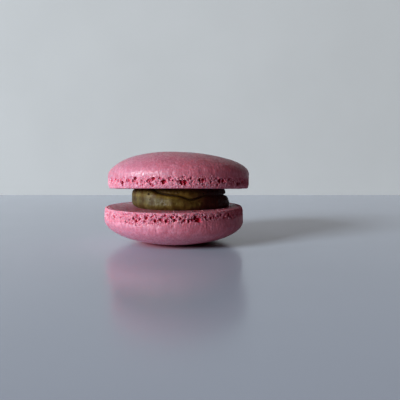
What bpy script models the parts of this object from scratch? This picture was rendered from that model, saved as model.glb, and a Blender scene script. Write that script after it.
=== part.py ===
"""French macaron: two domed almond-meringue shells on ruffled feet, with a piped filling between them.

Run it with: blender --background --python part.py

The lower shell lies dome down on a small flat spot, and its flat face looks up. The filling stands on that face.
The upper shell lies on the filling, dome up, a little to the right of the lower one and with its front raised.
+Z is up and the front is -Y. The origin is under the middle of the whole biscuit, on the surface it rests on.
"""

import math
import random
from dataclasses import dataclass

import bmesh
import bpy
from mathutils import Vector


@dataclass(frozen=True)
class ShellSizes:
    """One shell in its own frame, with its flat face at height 0 and its dome up."""

    diameter: float
    foot_height: float
    dome_height: float
    rest_depth: float  # how much of the dome's tip is pressed flat
    shoulder_drift: float  # how far the dome's middle height is pushed to the right
    tip_drift: float  # how far the dome's tip lies to the right of the middle of its foot
    seed: int


# Driving dimensions, in metres, with angles in degrees.
UPPER_SHELL = ShellSizes(
    diameter=0.0450,
    foot_height=0.0034,
    dome_height=0.0075,
    rest_depth=0.0,
    shoulder_drift=0.0004,
    tip_drift=-0.0022,
    seed=11,
)
LOWER_SHELL = ShellSizes(
    diameter=0.0444,
    foot_height=0.0027,
    dome_height=0.0078,
    rest_depth=0.00045,
    shoulder_drift=0.0005,
    tip_drift=0.0018,
    seed=5,
)
SIDE_HEIGHT = 0.0042  # the upright side of a shell, below its dome
FACE_GAP = 0.00545  # between the two flat faces, at the middle
UPPER_SHIFT = 0.0016  # the upper shell stands this far to the right of the lower one
UPPER_LEAN = 3.1  # the upper shell's front is raised by this
FILLING_RADIUS = 0.0148
FILLING_SHIFT = (0.0014, -0.0006)  # middle of the filling from the lower shell's, to the right and back
CLEARANCE = 0.0003  # between touching pieces

# Colours are linear red, green and blue.
SHELL_PINK = (0.66, 0.24, 0.33)
SHELL_ROUGHNESS = 0.5
FILLING_OLIVE = (0.12, 0.09, 0.03)
FILLING_ROUGHNESS = 0.5

# Finer shape of a shell.
RIM_ROUNDING = 0.0004  # where the flat face turns into the foot
FOOT_INSET = 0.0002  # the foot stands this far inside the cap's lip
LIP_STEP = 0.0003  # height of the step from the foot out to the lip
OUTLINE_LOBES = (2, 3, 5, 7)
OUTLINE_UNEVEN = 0.006  # share of the radius by which the widest lobe leaves a circle
SHOULDER_UNEVEN = 0.00012  # swell and hollow of the dome's shoulder
SHOULDER_LOBES = 3
DRIFT_POWER = 3  # the tip's drift grows with this power of the height above the side
BUBBLE_COUNT = 44
BUBBLE_SCATTER = 0.4  # share of the even spacing by which a bubble may stand off its place
BUBBLE_RADIUS = (0.0011, 0.0019)
BUBBLE_DEPTH = (0.0003, 0.0011)
BUBBLE_HEIGHT = (0.35, 0.85)  # share of the foot's height

# Finer shape of the filling. A share is of the filling's own height at that place.
CREASE_DEPTH = 0.0009
CREASE_WIDTH = 0.14  # share
CREASE_HEIGHT = 0.63  # share at which the groove between the two turns runs, on the whole
CREASE_WAVES = (  # where it climbs and falls on its way round: angle, width in degrees, share
    (-130.0, 14.0, 0.27),
    (-72.0, 22.0, -0.22),
    (60.0, 35.0, 0.16),
    (140.0, 25.0, -0.14),
)
BELLY = 0.0003  # how far the lower turn stands out past the upper one
SPREAD = 0.0022  # extra spread of the lower turn on the side where it was squeezed out
SPREAD_ANGLE = -15.0  # the middle of that side, counted from +X towards +Y
SPREAD_FOCUS = 4  # the higher, the narrower that side is
SPREAD_FADE = 1.5  # the higher, the sooner the spread dies out upwards
EDGE_ROUNDING = 0.0008  # how far the top and bottom edges draw in
EDGE_SHARE = 0.14  # share over which they do

SHELL_SEGMENTS = 114
FOOT_RINGS = 6
DOME_RINGS = 8
FILLING_SEGMENTS = 84
FILLING_RINGS = 11
MERGE_DISTANCE = 1e-6
SHARP_EDGE = 40.0


def clear_scene():
    for obj in list(bpy.data.objects):
        bpy.data.objects.remove(obj)


def make_material(name, colour, roughness):
    material = bpy.data.materials.new(name)
    material.use_nodes = True
    shader = material.node_tree.nodes["Principled BSDF"]
    shader.inputs["Base Color"].default_value = (*colour, 1.0)
    shader.inputs["Roughness"].default_value = roughness
    shader.inputs["Metallic"].default_value = 0.0
    return material


def revolve(profile, segments):
    """A closed bmesh turned from a profile of (radius, height) that starts and ends on the Z axis."""
    bm = bmesh.new()
    chain = [bm.verts.new((radius, 0.0, height)) for radius, height in profile]
    edges = [bm.edges.new(pair) for pair in zip(chain, chain[1:])]
    bmesh.ops.spin(
        bm,
        geom=chain + edges,
        cent=(0.0, 0.0, 0.0),
        axis=(0.0, 0.0, 1.0),
        angle=math.tau,
        steps=segments,
        use_merge=True,
    )
    bmesh.ops.remove_doubles(bm, verts=bm.verts, dist=MERGE_DISTANCE)
    bmesh.ops.recalc_face_normals(bm, faces=bm.faces)
    return bm


def add_object(name, bm, material, parent):
    bmesh.ops.triangulate(bm, faces=bm.faces)
    mesh = bpy.data.meshes.new(name)
    bm.to_mesh(mesh)
    bm.free()
    mesh.materials.append(material)
    mesh.shade_smooth()
    mesh.set_sharp_from_angle(angle=math.radians(SHARP_EDGE))
    obj = bpy.data.objects.new(name, mesh)
    obj.parent = parent
    bpy.context.scene.collection.objects.link(obj)
    return obj


def shell_profile(sizes):
    """From the middle of the flat face, out round the rim, up the foot and over the dome to its tip."""
    radius = sizes.diameter / 2.0
    foot_radius = radius - FOOT_INSET
    points = [(0.0, 0.0), (foot_radius - RIM_ROUNDING, 0.0)]
    for step in range(FOOT_RINGS + 1):
        height = RIM_ROUNDING + (sizes.foot_height - RIM_ROUNDING) * step / FOOT_RINGS
        points.append((foot_radius, height))
    points.append((radius, sizes.foot_height + LIP_STEP))
    points.append((radius, SIDE_HEIGHT))
    flat_height = SIDE_HEIGHT + sizes.dome_height - sizes.rest_depth
    last_angle = math.asin(1.0 - sizes.rest_depth / sizes.dome_height)
    steps = DOME_RINGS - 1 if sizes.rest_depth else DOME_RINGS
    for step in range(1, DOME_RINGS):
        angle = last_angle * step / steps
        points.append((radius * math.cos(angle), SIDE_HEIGHT + sizes.dome_height * math.sin(angle)))
    points.append((0.0, flat_height))
    return points


def make_bubbles(rng, foot_height):
    """Burst bubbles round the foot: (angle, height, radius, depth) of each."""
    bubbles = []
    for index in range(BUBBLE_COUNT):
        angle = math.tau * (index + rng.uniform(-BUBBLE_SCATTER, BUBBLE_SCATTER)) / BUBBLE_COUNT
        height = rng.uniform(*BUBBLE_HEIGHT) * foot_height
        bubbles.append((angle, height, rng.uniform(*BUBBLE_RADIUS), rng.uniform(*BUBBLE_DEPTH)))
    return bubbles


def foot_dent(angle, height, radius, bubbles):
    """How deep the deepest bubble cuts into the foot at this place."""
    deepest = 0.0
    for bubble_angle, bubble_height, bubble_radius, depth in bubbles:
        turn = math.remainder(angle - bubble_angle, math.tau)
        away = math.hypot(turn * radius, height - bubble_height) / bubble_radius
        if away < 1.0:
            deepest = max(deepest, depth * (1.0 - away * away) ** 2)
    return deepest


def make_outline(rng):
    """A function of the angle, near 1, that gives a piped biscuit its not quite round outline."""
    waves = [(lobes, rng.uniform(0.0, math.tau), OUTLINE_UNEVEN / lobes) for lobes in OUTLINE_LOBES]

    def outline(angle):
        return 1.0 + sum(size * math.cos(lobes * angle + phase) for lobes, phase, size in waves)

    return outline


def make_shell(name, sizes, material, parent):
    rng = random.Random(sizes.seed)
    radius = sizes.diameter / 2.0
    outline = make_outline(rng)
    bubbles = make_bubbles(rng, sizes.foot_height)
    shoulder_phase = rng.uniform(0.0, math.tau)
    top = SIDE_HEIGHT + sizes.dome_height - sizes.rest_depth
    bm = revolve(shell_profile(sizes), SHELL_SEGMENTS)
    for vertex in bm.verts:
        x, y, height = vertex.co
        angle = math.atan2(y, x)
        scale = outline(angle)
        if RIM_ROUNDING < height < sizes.foot_height + LIP_STEP:
            scale -= foot_dent(angle, height, radius, bubbles) / math.hypot(x, y)
        climb = max(0.0, height - SIDE_HEIGHT) / sizes.dome_height
        if height < top - MERGE_DISTANCE:
            height += SHOULDER_UNEVEN * math.sin(math.pi * climb) * math.cos(SHOULDER_LOBES * angle + shoulder_phase)
        drift = sizes.shoulder_drift * math.sin(math.pi * climb) + sizes.tip_drift * climb**DRIFT_POWER
        vertex.co = Vector((x * scale + drift, y * scale, height))
    return add_object(name, bm, material, parent)


def filling_profile():
    """A plain drum of radius 1 and height 1, which make_filling gives its true shape."""
    side = [(1.0, step / FILLING_RINGS) for step in range(FILLING_RINGS + 1)]
    return [(0.0, 0.0), *side, (0.0, 1.0)]


def filling_reach(angle, share):
    """The filling's radius at this angle and share of its height."""
    crease = CREASE_HEIGHT
    for middle, width, rise in CREASE_WAVES:
        turn = math.degrees(math.remainder(angle - math.radians(middle), math.tau))
        crease += rise * math.exp(-((turn / width) ** 2))
    groove = CREASE_DEPTH * math.exp(-(((share - crease) / CREASE_WIDTH) ** 2))
    belly = BELLY * math.sin(math.pi * share / crease) if share < crease else 0.0
    towards_spread = math.cos(angle - math.radians(SPREAD_ANGLE))
    spread = SPREAD * max(0.0, towards_spread) ** SPREAD_FOCUS * (1.0 - share) ** SPREAD_FADE
    edge = 1.0 - min(share, 1.0 - share, EDGE_SHARE) / EDGE_SHARE
    return FILLING_RADIUS + belly + spread - groove - EDGE_ROUNDING * edge * edge


def make_filling(name, low, middle_gap, lean, material, parent):
    """Two squashed turns of a piped swirl, flat below and following the leaning upper shell above."""
    shift_x, shift_y = FILLING_SHIFT
    bm = revolve(filling_profile(), FILLING_SEGMENTS)
    for vertex in bm.verts:
        x, y, share = vertex.co
        angle = math.atan2(y, x)
        reach = filling_reach(angle, share) * math.hypot(x, y)
        new_x = shift_x + reach * math.cos(angle)
        new_y = shift_y + reach * math.sin(angle)
        height = middle_gap - new_y * math.tan(lean)
        vertex.co = Vector((new_x, new_y, low + height * share))
    return add_object(name, bm, material, parent)


def stand_on_origin(root, pieces):
    """Moves the whole biscuit so that the origin is under the middle of its box."""
    bpy.context.view_layer.update()
    corners = [piece.matrix_world @ vertex.co for piece in pieces for vertex in piece.data.vertices]
    lowest = Vector([min(corner[axis] for corner in corners) for axis in range(3)])
    highest = Vector([max(corner[axis] for corner in corners) for axis in range(3)])
    middle = (lowest + highest) / 2.0
    root.location = (-middle.x, -middle.y, -lowest.z)
    bpy.context.view_layer.update()


def main():
    clear_scene()
    shell_pink = make_material("shell_pink", SHELL_PINK, SHELL_ROUGHNESS)
    filling_olive = make_material("filling_olive", FILLING_OLIVE, FILLING_ROUGHNESS)
    root = bpy.data.objects.new("macaron", None)
    bpy.context.scene.collection.objects.link(root)
    lower_face = SIDE_HEIGHT + LOWER_SHELL.dome_height - LOWER_SHELL.rest_depth
    lean = math.radians(UPPER_LEAN)

    lower = make_shell("lower_shell", LOWER_SHELL, shell_pink, root)
    lower.rotation_euler = (math.pi, 0.0, 0.0)
    lower.location = (0.0, 0.0, lower_face)

    upper = make_shell("upper_shell", UPPER_SHELL, shell_pink, root)
    upper.rotation_euler = (-lean, 0.0, 0.0)
    upper.location = (UPPER_SHIFT, 0.0, lower_face + FACE_GAP)

    filling = make_filling(
        "filling", lower_face + CLEARANCE, FACE_GAP - 2.0 * CLEARANCE, lean, filling_olive, root
    )
    stand_on_origin(root, [lower, upper, filling])


main()
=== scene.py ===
# French macaron: the finish of both meringue shells, the piped filling and the loose crumbs
import math
import random

import bmesh
import bpy
from mathutils import Matrix, Vector


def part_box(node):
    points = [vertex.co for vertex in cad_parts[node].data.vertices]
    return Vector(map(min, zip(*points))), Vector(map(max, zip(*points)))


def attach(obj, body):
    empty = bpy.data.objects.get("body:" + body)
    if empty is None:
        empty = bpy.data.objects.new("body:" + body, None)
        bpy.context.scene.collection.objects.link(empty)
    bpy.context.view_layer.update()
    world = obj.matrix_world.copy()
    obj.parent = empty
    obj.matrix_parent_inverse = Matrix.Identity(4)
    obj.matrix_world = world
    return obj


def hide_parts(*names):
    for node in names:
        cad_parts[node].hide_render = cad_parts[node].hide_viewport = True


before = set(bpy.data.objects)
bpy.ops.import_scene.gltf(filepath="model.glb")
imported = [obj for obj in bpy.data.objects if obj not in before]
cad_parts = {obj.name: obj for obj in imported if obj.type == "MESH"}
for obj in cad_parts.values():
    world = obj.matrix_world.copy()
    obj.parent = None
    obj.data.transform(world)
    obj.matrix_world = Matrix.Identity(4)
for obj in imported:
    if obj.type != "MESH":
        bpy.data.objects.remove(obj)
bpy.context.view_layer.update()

# Everything is modelled in millimetres, then placed and brought to metres by one matrix
toMetres = Matrix.Scale(0.001, 4)
toMillimetres = 1000.0



def feed(tree, socket, value):
    # value is another node's output, or a plain number, colour or vector
    if isinstance(value, bpy.types.NodeSocket):
        tree.links.new(value, socket)
    else:
        socket.default_value = value


def addNode(tree, kind, inputs=None, **settings):
    node = tree.nodes.new(kind)
    for name, value in settings.items():
        setattr(node, name, value)
    for key, value in (inputs or {}).items():
        feed(tree, node.inputs[key], value)
    return node


def calc(tree, operation, *values, clamp=False):
    node = addNode(tree, "ShaderNodeMath", operation=operation, use_clamp=clamp)
    for socket, value in zip(node.inputs, values):
        feed(tree, socket, value)
    return node.outputs[0]


def vec(tree, operation, *values):
    node = addNode(tree, "ShaderNodeVectorMath", operation=operation)
    sockets = [s for s in node.inputs if s.enabled]
    for socket, value in zip(sockets, values):
        feed(tree, socket, value)
    return next(s for s in node.outputs if s.enabled)


def parted(tree, colour):
    # the red, green and blue of a colour, which here are three random numbers
    kind = "ShaderNodeSeparateColor" if tree.bl_idname == "ShaderNodeTree" else "FunctionNodeSeparateColor"
    return addNode(tree, kind, {0: colour}).outputs


def ramp(tree, value, low, high, start=0.0, end=1.0, smooth=True):
    # start below low, end above high
    kind = "SMOOTHSTEP" if smooth else "LINEAR"
    node = addNode(tree, "ShaderNodeMapRange", interpolation_type=kind, clamp=True)
    for socket, number in zip(node.inputs, (value, low, high, start, end)):
        feed(tree, socket, number)
    return node.outputs[0]


def noise(tree, place, scale, detail=2.0, roughness=0.5, out="Fac"):
    node = addNode(
        tree, "ShaderNodeTexNoise", {"Vector": place, "Scale": scale, "Detail": detail, "Roughness": roughness}
    )
    return node.outputs[out]


def sway(tree, place, scale, size, detail=2.0):
    # noise round zero, reaching about size either way
    value = noise(tree, place, scale, detail)
    return calc(tree, "MULTIPLY", calc(tree, "SUBTRACT", value, 0.5), calc(tree, "MULTIPLY", size, 2.5))


def newGroup(name, kind, inputs, outputs):
    tree = bpy.data.node_groups.new(name, kind)
    for label, socketType, value in inputs:
        socket = tree.interface.new_socket(name=label, in_out="INPUT", socket_type="NodeSocket" + socketType)
        if value is not None:
            socket.default_value = value
    for label, socketType in outputs:
        tree.interface.new_socket(name=label, in_out="OUTPUT", socket_type="NodeSocket" + socketType)
    return tree, tree.nodes.new("NodeGroupInput").outputs, tree.nodes.new("NodeGroupOutput").inputs



def turnedMesh(name, rings):
    # rings run (radius, height, segments) from pole to pole; a ring may have half or twice its neighbour's segments
    points, faces, starts = [], [], []
    for radius, height, count in rings:
        starts.append(len(points))
        for k in range(count):
            angle = math.tau * k / count
            points.append((radius * math.cos(angle), radius * math.sin(angle), height))
    for ring in range(len(rings) - 1):
        a, b = starts[ring], starts[ring + 1]
        na, nb = rings[ring][2], rings[ring + 1][2]
        fine, coarse, nf, nc = (a, b, na, nb) if na >= nb else (b, a, nb, na)
        for k in range(nc if nc > 1 else nf):
            if nc == 1:
                faces.append((fine + k, fine + (k + 1) % nf, coarse))
            elif nf == nc:
                faces.append((fine + k, fine + (k + 1) % nf, coarse + (k + 1) % nc, coarse + k))
            else:
                f0, f1, f2 = fine + 2 * k, fine + 2 * k + 1, fine + (2 * k + 2) % nf
                c0, c1 = coarse + k, coarse + (k + 1) % nc
                faces += [(f0, f1, c0), (f1, c1, c0), (f1, f2, c1)]
    mesh = bpy.data.meshes.new(name)
    mesh.from_pydata(points, [], faces)
    bm = bmesh.new()
    bm.from_mesh(mesh)
    bmesh.ops.recalc_face_normals(bm, faces=bm.faces)
    bm.to_mesh(mesh)
    bm.free()
    return mesh


def evenSteps(outline, step):
    # the points of a fine outline, thinned to one each step along it, ends kept
    kept, travelled = [outline[0]], 0.0
    for before, here in zip(outline, outline[1:]):
        travelled += math.dist(before, here)
        if travelled >= step:
            kept.append(here)
            travelled = 0.0
    if kept[-1] != outline[-1]:
        kept.append(outline[-1])
    return kept


def loosePoints(name, spots):
    # spots are (x, y, z, radius), the middles of bubbles or dimples
    mesh = bpy.data.meshes.new(name)
    mesh.from_pydata([spot[:3] for spot in spots], [], [])
    mesh.attributes.new("bubbleRadius", "FLOAT", "POINT").data.foreach_set("value", [spot[3] for spot in spots])
    piece = bpy.data.objects.new(name, mesh)
    bpy.context.scene.collection.objects.link(piece)
    return piece


def growPiece(name, mesh, tree, values, place):
    # runs a geometry tree on a mesh, keeps the result as a plain mesh and puts it in place
    source = bpy.data.objects.new(name + "Source", mesh)
    bpy.context.scene.collection.objects.link(source)
    modifier = source.modifiers.new("grow", "NODES")
    modifier.node_group = tree
    sockets = {s.name: s for s in tree.interface.items_tree if s.in_out == "INPUT"}
    for label, value in values.items():
        modifier[sockets[label].identifier] = value
    graph = bpy.context.evaluated_depsgraph_get()
    grown = bpy.data.meshes.new_from_object(source.evaluated_get(graph))
    bpy.data.objects.remove(source)
    grown.name = name
    grown.transform(toMetres @ place)
    grown.update()
    piece = bpy.data.objects.new(name, grown)
    bpy.context.scene.collection.objects.link(piece)
    print(name, len(grown.vertices), "points,", sum(len(p.vertices) - 2 for p in grown.polygons), "triangles")
    return piece



shell = {
    "sideHeight": 4.2,        # upright side below the dome
    "cadRounding": 0.5,       # where the solid's flat face ends, inside its radius
    "rimRounding": 0.14,      # where the flat face turns into the foot
    "rimTaper": 0.50,         # how far the foot draws in towards the flat face
    "taperHeight": 1.5,
    "footInset": 0.05,        # the foot stands this far inside the skin
    "footWander": 0.80,       # how far the skin's ragged lower edge climbs and falls
    "largeCount": 60,         # large burst bubbles round one foot, besides the placed ones
    "largeRadius": (0.28, 0.60),
    "crumble": 0.10,          # height of the foot's crumbly grain
    "skinWave": 0.10,         # slow swell of the dome
    "skinGrain": 0.088,       # eggshell grain of the dome
    "skinWrinkle": 0.085,     # fine upright wrinkles above the foot
    "pimple": 0.07,           # a nut grain under the skin here and there
    "segments": 1320,         # round the foot; the rest has a half, a quarter and an eighth of them
    "footStep": 0.10,
}

upperShell = {
    "node": "upper_shell",
    "diameter": 45.0,
    "domeHeight": 7.5,
    "footTop": 3.2,
    "restDepth": 0.0,
    "shoulderDrift": 0.4,
    "tipDrift": -2.2,
    "lean": 3.1,
    "hollowSize": 1.15,       # from one shallow open bubble to the next
    "hollowDepth": 0.50,
    "poreSpacing": 0.55,
    "poreRadius": 0.20,
    "rimStrip": 0.95,         # calmer strip beside the flat face
    "footLift": 0.0,          # the foot is taller by this
    "liftTowards": 0,         # on this side, in degrees round from the front
    "seed": 11,
    # large bubbles that give the front its character:
    # degrees round from the front, height, radius, and from 0, a deep hole, to 1, a shallow bowl
    "placed": [
        (-60, 2.3, 0.75, 0.8), (-53, 2.5, 0.60, 0.6), (-49, 2.1, 0.40, 0.2), (-43, 1.5, 0.70, 0.1),
        (-45, 2.2, 0.45, 0.5), (-36, 2.3, 0.95, 1.0), (-30, 2.8, 0.45, 0.2), (-31.5, 2.1, 0.45, 0.4),
        (-28, 1.5, 0.45, 0.3), (-24, 0.9, 0.45, 0.4), (-22, 1.1, 0.35, 0.2), (-18.5, 2.1, 0.80, 0.8),
        (-15, 2.6, 0.55, 0.2), (-17, 1.4, 0.50, 0.5), (-15.5, 0.7, 0.40, 0.4), (-10.5, 2.7, 0.50, 0.7),
        (-8, 1.9, 0.75, 0.1), (-3.5, 2.4, 0.35, 0.5), (-1, 2.2, 0.35, 0.2), (1.5, 2.1, 0.40, 0.3),
        (4.8, 1.6, 0.65, 0.0), (7, 1.7, 0.75, 0.2), (9.5, 2.4, 0.40, 0.4), (11.5, 2.8, 0.35, 0.5),
        (17.5, 2.4, 0.50, 0.1), (20, 2.4, 0.55, 0.1), (22, 2.5, 0.40, 0.4), (27, 2.8, 0.35, 0.4),
        (26, 1.9, 0.40, 0.6), (33.5, 2.2, 0.65, 0.1), (36.5, 2.2, 0.65, 0.1), (31.5, 1.0, 0.45, 0.3),
        (39, 2.8, 0.35, 0.4), (43, 2.7, 0.40, 0.4), (45, 1.4, 0.50, 0.6), (52.5, 1.4, 0.70, 0.1),
        (55, 1.6, 0.50, 0.2), (60, 2.1, 0.55, 0.3),
    ],
}

lowerShell = {
    "node": "lower_shell",
    "diameter": 44.4,
    "domeHeight": 7.8,
    "footTop": 2.5,
    "restDepth": 0.45,
    "shoulderDrift": 0.5,
    "tipDrift": 1.8,
    "lean": 0.0,
    "hollowSize": 0.82,
    "hollowDepth": 0.72,
    "poreSpacing": 0.42,
    "poreRadius": 0.24,
    "rimStrip": 0.35,
    "footLift": 1.0,
    "liftTowards": -38,
    "seed": 5,
    "placed": [
        (-69, 1.4, 0.45, 0.45), (-57, 1.8, 0.40, 0.55), (-48, 2.0, 0.50, 0.55), (-46, 1.2, 0.35, 0.55),
        (-40, 1.8, 0.45, 0.45), (-36, 0.6, 0.45, 0.35), (-31, 2.2, 0.40, 0.55), (-27, 1.8, 0.55, 0.20),
        (-25, 2.5, 0.45, 0.00), (-22, 2.0, 0.50, 0.10), (-18, 2.4, 0.45, 0.00), (-17, 1.4, 0.55, 0.30),
        (-12, 0.9, 0.50, 0.10), (-10, 2.2, 0.55, 0.10), (-6, 1.7, 0.50, 0.20), (-3, 0.7, 0.45, 0.00),
        (-2, 2.1, 0.55, 0.10), (2, 1.2, 0.55, 0.20), (4, 1.9, 0.55, 0.00), (8, 1.5, 0.55, 0.20),
        (10.5, 2.1, 0.50, 0.10), (14, 2.2, 0.55, 0.10), (18.5, 1.7, 0.85, 0.00), (21, 2.0, 0.85, 0.00),
        (16.5, 2.0, 0.55, 0.20), (27, 1.5, 0.55, 0.30), (31, 1.9, 0.50, 0.10), (34, 1.3, 0.45, 0.60),
        (38, 1.7, 0.40, 0.30), (44, 1.9, 0.50, 0.50), (49, 1.4, 0.65, 0.10), (52, 2.0, 0.45, 0.30), (57, 1.8, 0.45, 0.40),
    ],
}


def shellRings(one):
    radius, side, dome = one["diameter"] / 2, shell["sideHeight"], one["domeHeight"]
    rim = shell["rimRounding"]
    full = shell["segments"]
    arc = [math.pi / 2 * k / 40 for k in range(41)]
    face = [(radius * k / 400, 0.0) for k in range(401) if radius * k / 400 < radius - rim]
    edge = [(radius - rim + rim * math.sin(a), rim - rim * math.cos(a)) for a in arc]
    upright = [(radius, rim + (side - rim) * k / 400) for k in range(1, 401)]
    tipAngle = math.asin(1.0 - one["restDepth"] / dome)
    cap = [
        (radius * math.cos(tipAngle * k / 1500), side + dome * math.sin(tipAngle * k / 1500)) for k in range(1, 1501)
    ]
    if one["restDepth"]:
        last = cap[-1]
        cap += [(last[0] * (1 - k / 200), last[1]) for k in range(1, 201)]
    cap[-1] = (0.0, cap[-1][1])
    footEnd = one["footTop"] + one["footLift"] + 0.5
    zones = [  # points, distance between rings, segments
        ([p for p in face if p[0] <= 13], 1.0, full // 8),
        ([p for p in face if 13 < p[0] <= 19.5], 0.45, full // 4),
        ([p for p in face if p[0] > 19.5], 0.28, full // 2),
        (edge + [p for p in upright if p[1] < footEnd], shell["footStep"], full),
        ([p for p in upright if p[1] >= footEnd] + [p for p in cap if p[0] > 17], 0.28, full // 2),
        ([p for p in cap if 7 < p[0] <= 17], 0.36, full // 4),
        ([p for p in cap if p[0] <= 7], 0.40, full // 8),
    ]
    rings = [(*p, count) for points, step, count in zones for p in evenSteps(points, step)]
    rings[0] = (0.0, rings[0][1], 1)
    rings[-1] = (0.0, rings[-1][1], 1)
    return rings


def bubbleSeeds(one, facing):
    # centres of the large burst bubbles, as loose points with a radius each
    rng = random.Random(one["seed"])
    bubbles = list(one["placed"])
    count = shell["largeCount"]
    for k in range(count):
        turn = 360 * (k + rng.uniform(-0.35, 0.35)) / count
        height = one["footTop"] * rng.uniform(0.30, 0.92)
        size = rng.uniform(0.0, 1.0) ** 1.6
        size = shell["largeRadius"][0] + size * (shell["largeRadius"][1] - shell["largeRadius"][0])
        openness = rng.uniform(0.0, 0.8)
        near = min(math.hypot((abs((turn - b[0] + 180) % 360 - 180)) * 0.39, height - b[1]) for b in one["placed"])
        if near > 1.2:
            bubbles.append((turn, height, size, openness))
    spots = []
    for turn, height, size, openness in bubbles:
        reach = one["diameter"] / 2 - shell["footInset"] + (0.9 * openness - 0.3) * size
        angle = math.radians(turn)
        spots.append((reach * math.sin(angle), -facing * reach * math.cos(angle), height, size))
    return loosePoints(one["node"] + "Bubbles", spots)


def bubbleWallGroup():
    # moves a point of the surface onto the inner wall of the round bubble that opens there
    tree, given, result = newGroup(
        "bubbleWall",
        "GeometryNodeTree",
        [("Place", "Vector", None), ("Normal", "Vector", None), ("Centre", "Vector", None), ("Radius", "Float", 0.3)],
        [("Offset", "Vector"), ("Depth", "Float")],
    )
    radius, normal = given["Radius"], given["Normal"]
    away = vec(tree, "SUBTRACT", given["Place"], given["Centre"])
    above = vec(tree, "DOT_PRODUCT", away, normal)
    along = vec(tree, "SUBTRACT", away, scaled(tree, normal, above))
    squared = calc(tree, "SUBTRACT", calc(tree, "MULTIPLY", radius, radius), calc(tree, "MULTIPLY", above, above))
    mouth = calc(tree, "SQRT", calc(tree, "MAXIMUM", squared, 0.0))
    share = calc(tree, "DIVIDE", vec(tree, "LENGTH", along), calc(tree, "MAXIMUM", mouth, 0.0001))
    level = calc(tree, "DIVIDE", calc(tree, "MULTIPLY", above, -1.0), calc(tree, "MAXIMUM", radius, 0.0001))
    edgeAngle = calc(tree, "ARCCOSINE", calc(tree, "MAXIMUM", calc(tree, "MINIMUM", level, 1.0), -1.0))
    angle = calc(tree, "MULTIPLY", share, edgeAngle)
    down = calc(tree, "MULTIPLY", calc(tree, "COSINE", angle), calc(tree, "MULTIPLY", radius, -1.0))
    out = calc(tree, "MULTIPLY", calc(tree, "SINE", angle), radius)
    wall = vec(tree, "ADD", scaled(tree, normal, down), scaled(tree, vec(tree, "NORMALIZE", along), out))
    move = scaled(tree, vec(tree, "SUBTRACT", wall, away), calc(tree, "LESS_THAN", share, 1.0))
    feed(tree, result["Offset"], move)
    feed(tree, result["Depth"], calc(tree, "MULTIPLY", vec(tree, "DOT_PRODUCT", move, normal), -1.0))
    return tree


def bubbleLayerGroup(wallTree):
    # opens the bubbles whose middles are the given points, each with its own radius
    tree, given, result = newGroup(
        "bubbleLayer",
        "GeometryNodeTree",
        [("Bubbles", "Geometry", None), ("Place", "Vector", None), ("Normal", "Vector", None), ("Share", "Float", 1.0)],
        [("Offset", "Vector"), ("Depth", "Float")],
    )
    bubbles = given["Bubbles"]
    nearest = addNode(tree, "GeometryNodeSampleNearest", {"Geometry": bubbles, "Sample Position": given["Place"]})
    ownPlace = tree.nodes.new("GeometryNodeInputPosition").outputs[0]
    ownRadius = addNode(tree, "GeometryNodeInputNamedAttribute", {"Name": "bubbleRadius"}, data_type="FLOAT").outputs[0]
    sampled = []
    for kind, value in (("FLOAT_VECTOR", ownPlace), ("FLOAT", ownRadius)):
        sample = addNode(tree, "GeometryNodeSampleIndex", data_type=kind)
        feed(tree, sample.inputs["Geometry"], bubbles)
        feed(tree, sample.inputs["Value"], value)
        feed(tree, sample.inputs["Index"], nearest.outputs[0])
        sampled.append(sample.outputs[0])
    wall = addNode(tree, "GeometryNodeGroup", node_tree=wallTree)
    feed(tree, wall.inputs["Place"], given["Place"])
    feed(tree, wall.inputs["Normal"], given["Normal"])
    feed(tree, wall.inputs["Centre"], sampled[0])
    feed(tree, wall.inputs["Radius"], calc(tree, "MULTIPLY", sampled[1], given["Share"]))
    feed(tree, result["Offset"], wall.outputs["Offset"])
    feed(tree, result["Depth"], wall.outputs["Depth"])
    return tree


def scatterBubbles(tree, body, where, spacing, smallest, largest, seed):
    # evenly loose points on the surface, sunk or raised a little, as the middles of bubbles
    spread = addNode(tree, "GeometryNodeDistributePointsOnFaces", distribute_method="POISSON")
    feed(tree, spread.inputs["Mesh"], body)
    feed(tree, spread.inputs["Selection"], where)
    feed(tree, spread.inputs["Distance Min"], spacing)
    feed(tree, spread.inputs["Density Max"], calc(tree, "DIVIDE", 3.0, calc(tree, "MULTIPLY", spacing, spacing)))
    feed(tree, spread.inputs["Seed"], seed)
    chance = addNode(tree, "FunctionNodeRandomValue", data_type="FLOAT")
    feed(tree, chance.inputs["Seed"], calc(tree, "ADD", seed, 1.0))
    radius = ramp(tree, next(s for s in chance.outputs if s.enabled), 0.0, 1.0, smallest, largest, smooth=False)
    level = addNode(tree, "FunctionNodeRandomValue", data_type="FLOAT")
    feed(tree, next(s for s in level.inputs if s.name == "Min" and s.enabled), -0.45)
    feed(tree, next(s for s in level.inputs if s.name == "Max" and s.enabled), 0.35)
    feed(tree, level.inputs["Seed"], calc(tree, "ADD", seed, 2.0))
    store = addNode(tree, "GeometryNodeStoreNamedAttribute", {"Name": "bubbleRadius"}, data_type="FLOAT", domain="POINT")
    feed(tree, store.inputs["Geometry"], spread.outputs["Points"])
    feed(tree, store.inputs["Value"], radius)
    lift = calc(tree, "MULTIPLY", radius, next(s for s in level.outputs if s.enabled))
    moved = addNode(tree, "GeometryNodeSetPosition", {"Geometry": store.outputs[0]})
    feed(tree, moved.inputs["Offset"], scaled(tree, spread.outputs["Normal"], lift))
    return moved.outputs[0]


def scaled(tree, vector, factor):
    return addNode(tree, "ShaderNodeVectorMath", {0: vector, "Scale": factor}, operation="SCALE").outputs[0]


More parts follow.
